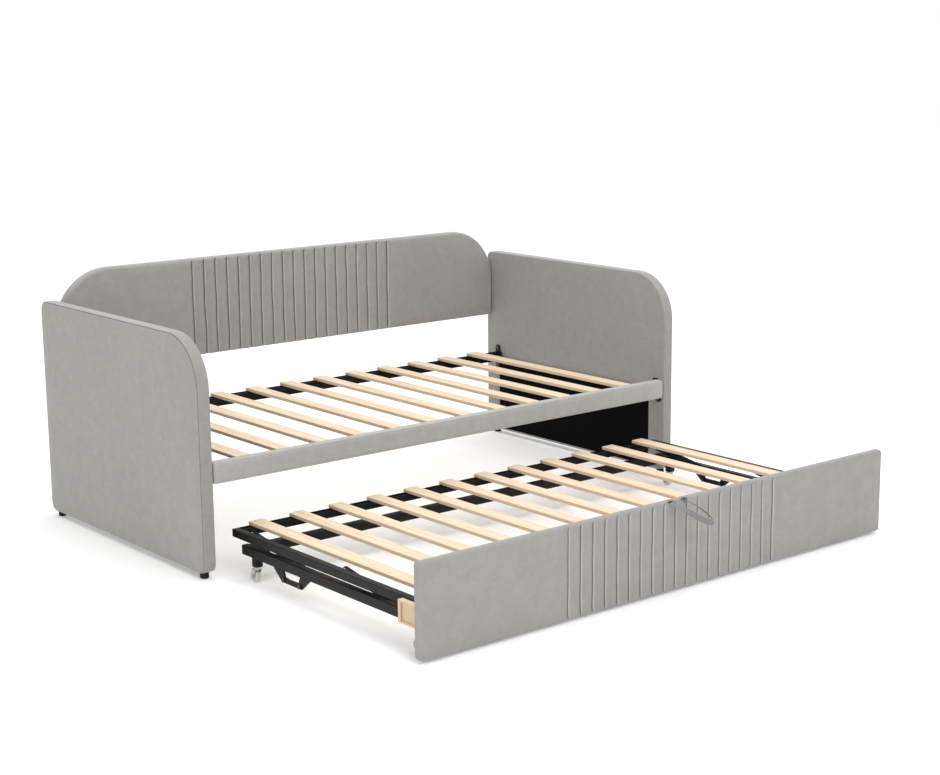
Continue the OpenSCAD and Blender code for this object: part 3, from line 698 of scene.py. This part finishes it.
def plumpUp(piece, freedoms, padding):
    # air pressure swells the cloth between what is held, and no point goes past its cap
    flat = [v.co.copy() for v in piece.data.vertices]
    held = piece.vertex_groups.new(name="held")
    held.add([i for i, f in enumerate(freedoms) if f < heldBelow], 1.0, "REPLACE")
    selectOnly(piece)
    modifier = piece.modifiers.new("padding", "CLOTH")
    cloth = modifier.settings
    cloth.quality = 4
    cloth.mass = 0.25
    cloth.tension_stiffness = cloth.compression_stiffness = padding["stiffness"]
    cloth.bending_stiffness = 0.4
    cloth.use_pressure = True
    cloth.uniform_pressure_force = padding["pressure"]
    cloth.effector_weights.gravity = 0
    cloth.vertex_group_mass = "held"
    modifier.point_cache.frame_start = 1
    modifier.point_cache.frame_end = 20
    scene = bpy.context.scene
    for moment in range(1, 21):
        scene.frame_set(moment)
    bpy.ops.object.modifier_apply(modifier="padding")
    scene.frame_set(1)
    for vertex, start, freedom in zip(piece.data.vertices, flat, freedoms):
        move = vertex.co - start
        most = padding["cap"] * freedom
        if move.length > most:
            move = move.normalized() * most
        vertex.co = start + move
    piece.vertex_groups.clear()


def softenPiece(piece):
    selectOnly(piece)
    rounding = piece.modifiers.new("rounding", "SUBSURF")
    rounding.levels = rounding.render_levels = 1
    bpy.ops.object.modifier_apply(modifier="rounding")
    # the folded-in rim is open until now; the board closes it
    edit = editPiece(piece, "EDGE")
    rim = [edge for edge in edit.edges if edge.is_boundary]
    for edge in rim:
        edge.select_set(True)
    if rim:
        bpy.ops.mesh.edge_face_add()
    bpy.ops.object.mode_set(mode="OBJECT")
    bpy.ops.object.shade_smooth()


edgeRings = [14, 11.5, 9, 7, 5.2, 3.7, 2.4, 1.4, 0.65, 0.2, 0]   # mm in from the outline


def padShape(low, high, corners):
    # the outline of a cover that faces forwards, with its corner radii from the lower left round
    return {"left": low.x, "right": high.x, "bottom": low.z, "top": high.z,
            "corners": tuple(radius * mm for radius in corners)}


def faceForward(pad):
    return lambda u, v, w: (u, pad["front"] + w, v)


# the back and the trundle panel: plain ends and sewn channels

channels = {
    "count": 18,
    "valley": 8.0 * mm,      # how far a channel's sides fall towards its seam
    "stitch": 2.2 * mm,      # how much deeper the seam itself is
    "seamW": 1.5 * mm,
    "wobble": 2.6 * mm,
    "fadeTop": 15 * mm,
    "shade": (0.4, 8 * mm),                  # painted shade left of a seam, standing in for light from the left: strength and width
    "glint": (0.52, 3.4 * mm, 1.9 * mm),     # painted highlight right of it: strength, place and width
    "slot": (2.4, 11 * mm, 3.5 * mm, 2.6 * mm),   # painted shadow in a strap slot: strength, half width, depth and height
    "endReach": 16 * mm,                     # how far the two outer seams pull the plain ends in
}


def channelColumns(half, pitch, left, right, step):
    near = [0.8, 1.8, 3.4, 6.2, 10.5, 16.5]
    columns = [u * mm for u in span(left / mm, (-half - 22 * mm) / mm, step)]
    for number in range(channels["count"] + 1):
        seam = -half + number * pitch
        columns += [seam - d * mm for d in reversed(near)] + [seam] + [seam + d * mm for d in near]
        if number < channels["count"]:
            columns.append(seam + pitch / 2)
    columns += [u * mm for u in span((half + 22 * mm) / mm, right / mm, step)]
    return columns


def closerEnds(columns):
    # extra columns beside the ends keep the corners of a cover square
    near = (2 * mm, 5 * mm)
    first, last = columns[0], columns[-1]
    before = [first] + [first + d for d in near]
    after = [last - d for d in reversed(near)] + [last]
    return before + columns[1:-1] + after


def channelRelief(shape, half, seed, slotPlaces=()):
    pitch = 2 * half / channels["count"]

    def relief(u, v, distance, face):
        if face == "back":
            return 0.0, 0.0, 0.0, 0.0
        seamNumber = min(max(round((u + half) / pitch), 0), channels["count"])
        seam = -half + seamNumber * pitch
        away = abs(u - seam)
        reach = pitch / 2 if abs(u) < half else channels["endReach"]
        side = max(0.0, 1 - away / reach)
        belowTop = shape["top"] - v
        fade = smooth(2 * mm, channels["fadeTop"], belowTop) if face == "front" else 0.0
        fade *= 0.45 + 0.55 * smooth(0, 12 * mm, v - shape["bottom"])
        notch = hump(belowTop - channels["fadeTop"], 5 * mm) * 1.5 * mm
        stitch = hump(away, channels["seamW"])
        shade, shadeW = channels["shade"]
        glint, glintAt, glintW = channels["glint"]
        # painted shade left of each seam and a painted highlight right of it, standing in for light from the
        # left
        paintedFlankLight = shade * hump(away, shadeW) if u < seam else -glint * hump(away - glintAt, glintW)
        deep = channels["valley"] * (0.62 * side ** 6 + 0.38 * side ** 2.2)
        deep += (channels["stitch"] + notch) * stitch
        pucker = ripple(seed, u / (9 * mm), v / (16 * mm)) * 0.55 * mm * hump(away, 11 * mm)
        wave = ripple(seed + 1, u / 0.16, v / 0.11) * 0.7 * mm
        lean = channels["wobble"] * ripple(seed + 2, seamNumber * 3.1, v / 0.085) * hump(away, 12 * mm)
        inner = smooth(6 * mm, 30 * mm, distance)
        freedom = smooth(1.0 * mm, 15 * mm, away) * (0.25 + 0.75 * inner)
        if abs(u) > half:
            freedom *= 0.8
        if face == "side" or distance < 1 * mm:
            freedom = 0.12
        # the stitch term is painted shade along the seam itself
        tone = (stitch + paintedFlankLight) * fade
        slot, slotHalf, slotDepth, slotH = channels["slot"]
        slotShadow = sum(hump(u - root, slotHalf) for root in slotPlaces)
        # painted shadow inside the strap slots
        tone += slot * slotShadow * hump(belowTop - slotDepth, slotH)
        return lean * fade, (deep + pucker) * fade + wave * inner, tone, freedom

    return relief


low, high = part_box("back_cover")
backPad = {
    "shape": padShape(low, high, (6, 6, 200, 200)),
    "roll": {"top": 12 * mm, "side": 10 * mm, "bottom": 7 * mm},
    "front": low.y,
    "thick": high.y - low.y,
    "rings": [d * mm for d in [22, 18] + edgeRings],
    "cornerR": 6 * mm,
    "backRoll": 0.45,        # the rear edge's rounding, as a share of the front's
    "rearStep": 2,           # every second ring on the rear
    "fold": 30 * mm,         # width of cloth folded over to the rear, and its step down to the board
    "step": 3.4 * mm,
    "channelHalf": 434 * mm,
    "padding": {"pressure": 4.0, "stiffness": 12.0, "cap": 2.6 * mm},
}


def archColumns(left, right, radius, count):
    # close together where the arches of the two top corners are steep
    turns = [math.radians(90 * i / count) for i in range(count)]
    steps = [radius * (1 - math.cos(t)) for t in turns]
    return [left + step for step in steps], [right - step for step in reversed(steps)]


def buildBack(pad):
    inset = pad["rings"][0]
    shape = pad["shape"]
    left, right = shape["left"] + inset, shape["right"] - inset
    radius = shape["corners"][2] - inset
    first, last = archColumns(left, right, radius, 20)
    half = pad["channelHalf"]
    middle = channelColumns(half, 2 * half / channels["count"], left + radius, right - radius, 14)
    pad["columns"] = first + middle + last
    pad["rows"] = [0, 0.007, 0.016] + [i / 30 for i in range(1, 31)]
    return buildPad("back_upholstery", pad, channelRelief(shape, half, 3.0), faceForward(pad))


backPiece, freedoms = buildBack(backPad)
plumpUp(backPiece, freedoms, backPad["padding"])
softenPiece(backPiece)
finishPiece(backPiece, velvet, "daybed", "back_cover")
print("back upholstered")

strapLook = {
    "width": 17 * mm,
    "thick": 1.6 * mm,
    "rootX": (-24 * mm, 33 * mm),
    "rootLean": 68,          # how far the ribbon lies over at its roots and at its tip, in degrees
    "tipLean": 24,
    "fullness": 0.75,        # below 1 the loop is rounder at its tip
    "edge": 0.6 * mm,
    "steps": 64,
    "smoothAngle": 50,
}

low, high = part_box("panel_cover")
panelPad = {
    "shape": padShape(low, high, (2, 2, 2, 2)),
    "roll": {"top": 10 * mm, "side": 5 * mm, "bottom": 3 * mm},
    "front": low.y,
    "thick": high.y - low.y,
    "rings": [d * mm for d in edgeRings],
    "cornerR": 2 * mm,
    "backRoll": 0.6,
    "rearStep": 2,
    "fold": 25 * mm,
    "step": 3.4 * mm,
    "channelHalf": 428 * mm,
    "padding": {"pressure": 4.0, "stiffness": 12.0, "cap": 2.4 * mm},
}


def buildPanel(pad):
    inset = pad["rings"][0]
    shape = pad["shape"]
    half = pad["channelHalf"]
    left, right = shape["left"] + inset, shape["right"] - inset
    pad["columns"] = closerEnds(channelColumns(half, 2 * half / channels["count"], left, right, 14))
    pad["rows"] = [0, 0.01, 0.02] + [i / 24 for i in range(1, 24)] + [0.98, 0.99, 1]
    relief = channelRelief(shape, half, 11.0, strapLook["rootX"])
    return buildPad("panel_upholstery", pad, relief, faceForward(pad))


panelPiece, freedoms = buildPanel(panelPad)
plumpUp(panelPiece, freedoms, panelPad["padding"])
softenPiece(panelPiece)
finishPiece(panelPiece, velvet, "trundle_deck", "panel_cover")
print("trundle panel upholstered")


# the front rail

low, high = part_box("front_rail_cover")
railPad = {
    "shape": padShape(low, high, (1.5, 1.5, 1.5, 1.5)),
    "roll": {"top": 5 * mm, "side": 2 * mm, "bottom": 3.5 * mm},
    "front": low.y,
    "thick": high.y - low.y,
    "rings": [d * mm for d in edgeRings[3:]],
    "cornerR": 1.5 * mm,
    "backRoll": 0.2,
    "rearStep": 1,
    "fold": 8 * mm,
    "step": 1.2 * mm,
    "padding": {"pressure": 3.0, "stiffness": 15.0, "cap": 1.3 * mm},
}


def railRelief(u, v, distance, face):
    if face == "back":
        return 0.0, 0.0, 0.0, 0.0
    wave = ripple(21.0, u / 0.12, v / 0.05) * 0.5 * mm * smooth(3 * mm, 18 * mm, distance)
    freedom = smooth(0, 12 * mm, distance) if face == "front" else 0.1
    return 0.0, wave, 0.0, freedom


def buildRail(pad):
    inset = pad["rings"][0]
    shape = pad["shape"]
    pad["columns"] = closerEnds(span(shape["left"] + inset, shape["right"] - inset, 12 * mm))
    pad["rows"] = [0, 0.03, 0.07] + [i / 7 for i in range(1, 7)] + [0.93, 0.97, 1]
    return buildPad("front_rail_upholstery", pad, railRelief, faceForward(pad))


railPiece, freedoms = buildRail(railPad)
plumpUp(railPiece, freedoms, railPad["padding"])
softenPiece(railPiece)
finishPiece(railPiece, lighterRailVelvet, "daybed", "front_rail_cover")
print("front rail upholstered")


# the arms: boxed front and top edges

low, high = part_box("left_arm_cover")
liningLow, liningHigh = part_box("left_arm_lining")
armPad = {
    "shape": {"left": low.y, "right": high.y, "bottom": low.z, "top": high.z,
              "corners": (6 * mm, 6 * mm, 12 * mm, 165 * mm)},
    "roll": {"top": 6.5 * mm, "side": 6.5 * mm, "bottom": 5 * mm},
    "thick": high.x - low.x,
    "rings": [d * mm for d in (38, 30, 24, 19, 15, 11.8, 9.5, 8.7, 8.2, 6.8, 5.6, 4.6, 3.8, 3.1, 2.5,
                               1.9, 1.3, 0.7, 0.25, 0)],
    "cornerR": 6 * mm,
    "backRoll": 0.7,
    "rearStep": 1,
    "seamAt": 3.1 * mm,      # the boxing strip's seam, in from the outline
    "dip": (1.3 * mm, 7 * mm),      # the wide dip round the seam and the thin groove: depth and width
    "groove": (2.6 * mm, 1.1 * mm),
    "recess": 6.6 * mm,      # room behind the lining
    "liningGap": 0.45 * mm,
    "padding": {"pressure": 3.5, "stiffness": 12.0, "cap": 2.6 * mm},
}


def armRelief(u, v, distance, face):
    shape = armPad["shape"]
    if face == "back":
        edge = 0.5 * mm
        across = liningLow.y - edge < u < liningHigh.y + edge
        if across and liningLow.z - edge < v < liningHigh.z + edge:
            return 0.0, -armPad["recess"], 0.0, 0.0
        tuck = ripple(31.0, u / (22 * mm), v / (22 * mm)) * 0.6 * mm * hump(distance - 12 * mm, 12 * mm)
        wave = ripple(32.0, u / 0.19, v / 0.17) * 0.5 * mm
        freedom = 0.35 * smooth(0, 30 * mm, distance)
        freedom *= smooth(liningHigh.z + 5 * mm, liningHigh.z + 60 * mm, v)
        return 0.0, (tuck - wave) * smooth(liningHigh.z, liningHigh.z + 40 * mm, v), 0.0, freedom
    if face == "side":
        return 0.0, 0.0, 0.0, 0.1
    seamSide = min(shape["right"] - u, v - shape["bottom"]) - min(u - shape["left"], shape["top"] - v)
    seamed = smooth(-12 * mm, 6 * mm, seamSide)
    away = abs(distance - armPad["seamAt"])
    along = (u - v) / (15 * mm)
    stitch = hump(away, 1.0 * mm) * seamed
    dip, groove = (depth * hump(away, width) for depth, width in (armPad["dip"], armPad["groove"]))
    sink = (dip + groove) * seamed
    pucker = ripple(33.0, along) * 0.5 * mm * hump(away, 10 * mm) * seamed
    wave = ripple(34.0, u / 0.21, v / 0.17) * 0.8 * mm * smooth(20 * mm, 60 * mm, distance)
    freedom = smooth(1.5 * mm, 22 * mm, away) if seamed > 0.5 else smooth(4 * mm, 40 * mm, distance)
    if distance < armPad["seamAt"]:
        freedom = 0.0
    # the third value is painted shade along the boxing seam
    return 0.0, sink + pucker + wave, 0.7 * stitch, freedom


def buildArm(pad):
    inset = pad["rings"][0]
    shape = pad["shape"]
    left, right = shape["left"] + inset, shape["right"] - inset
    radius = shape["corners"][3] - inset
    first = archColumns(left, right, radius, 16)[0]
    gap = pad["liningGap"]
    stops = [left + radius, liningHigh.y - gap, liningHigh.y + gap, right]
    columns = [u for u in first if abs(u - liningLow.y) > 4 * mm]
    columns = sorted(columns + [liningLow.y - gap, liningLow.y + gap])
    columns += span(stops[0], stops[1], 12 * mm) + span(stops[2], stops[3], 12 * mm)
    pad["columns"] = columns[:-1] + [right - 5 * mm, right - 2 * mm, right]
    lower, upper = shape["bottom"] + inset, shape["top"] - inset
    edge = (liningHigh.z - lower) / (upper - lower)
    tiny = gap / (upper - lower)
    pad["rows"] = [0, 0.003, 0.008] + [i / 24 * (edge - tiny) for i in range(1, 25)]
    pad["rows"] += [edge + tiny + (1 - edge - tiny) * i / 33 for i in range(33)] + [0.992, 0.997, 1]
    x = low.x
    return buildPad("left_arm_upholstery", pad, armRelief, lambda u, v, w: (x + w, u, v))


leftArm, freedoms = buildArm(armPad)
plumpUp(leftArm, freedoms, armPad["padding"])
softenPiece(leftArm)


def mirroredCopy(piece, name):
    other = piece.copy()
    other.data = piece.data.copy()
    other.name = other.data.name = name
    bpy.context.scene.collection.objects.link(other)
    other.scale.x = -1
    selectOnly(other)
    bpy.ops.object.transform_apply(location=True, rotation=True, scale=True)
    faceOutwards(other)
    return other


rightArm = mirroredCopy(leftArm, "right_arm_upholstery")
for arm, side in ((leftArm, "left"), (rightArm, "right")):
    finishPiece(arm, velvet, "daybed", side + "_arm_cover")
print("arms upholstered")


# the pull strap

strapLow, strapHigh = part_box("pull_strap")


def strapPath(look, share):
    # from the left root round the tip and back to the right root
    turn = math.pi * share
    middle = (look["rootX"][0] + look["rootX"][1]) / 2
    half = (look["rootX"][1] - look["rootX"][0]) / 2
    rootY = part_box("panel_cover")[0].y + 5 * mm
    out = math.sin(turn)
    side = math.copysign(abs(math.cos(turn)) ** look["fullness"], math.cos(turn))
    drop = (strapHigh.z - strapLow.z - look["width"] / 2 - 2 * mm) * out ** 1.5
    y = rootY - (rootY - strapLow.y - look["thick"]) * out
    place = Vector((middle - half * side, y, strapHigh.z - 5 * mm - drop))
    return place, -math.radians(look["tipLean"] + (look["rootLean"] - look["tipLean"]) * (1 - out))


def buildStrap(look):
    points, faces, marks = [], [], []
    samples = [strapPath(look, i / look["steps"]) for i in range(look["steps"] + 1)]
    halfW, halfT, edge = look["width"] / 2, look["thick"] / 2, look["edge"]
    section = [(-halfW, 0), (-halfW + edge, -halfT), (0, -halfT), (halfW - edge, -halfT),
               (halfW, 0), (halfW - edge, halfT), (0, halfT), (-halfW + edge, halfT)]
    length = 0.0
    for i, (place, lean) in enumerate(samples):
        ahead = samples[min(i + 1, look["steps"])][0] - samples[max(i - 1, 0)][0]
        ahead.normalize()
        if i:
            length += (place - samples[i - 1][0]).length
        upright = Vector((0, 0, 1))
        across = upright - ahead * upright.dot(ahead)
        across.normalize()
        across = Matrix.Rotation(lean, 3, ahead) @ across
        flat = ahead.cross(across)
        for wide, deep in section:
            points.append(place + across * wide + flat * deep)
            marks.append((wide, length))
    count = len(section)
    for i in range(look["steps"]):
        for k in range(count):
            n = (k + 1) % count
            faces.append((i * count + k, i * count + n, (i + 1) * count + n, (i + 1) * count + k))
    faces.append(tuple(range(count)))
    faces.append(tuple(range(look["steps"] * count, (look["steps"] + 1) * count)))
    piece, mesh = addPiece("pull_strap_webbing", points, faces)
    layer = mesh.uv_layers.new(name="ribbon")
    for corner in mesh.loops:
        layer.data[corner.index].uv = marks[corner.vertex_index]
    faceOutwards(piece)
    bpy.ops.object.shade_smooth_by_angle(angle=math.radians(look["smoothAngle"]))
    return piece


strap = buildStrap(strapLook)
finishPiece(strap, webbing, "trundle_deck", "pull_strap")
print("pull strap sewn")
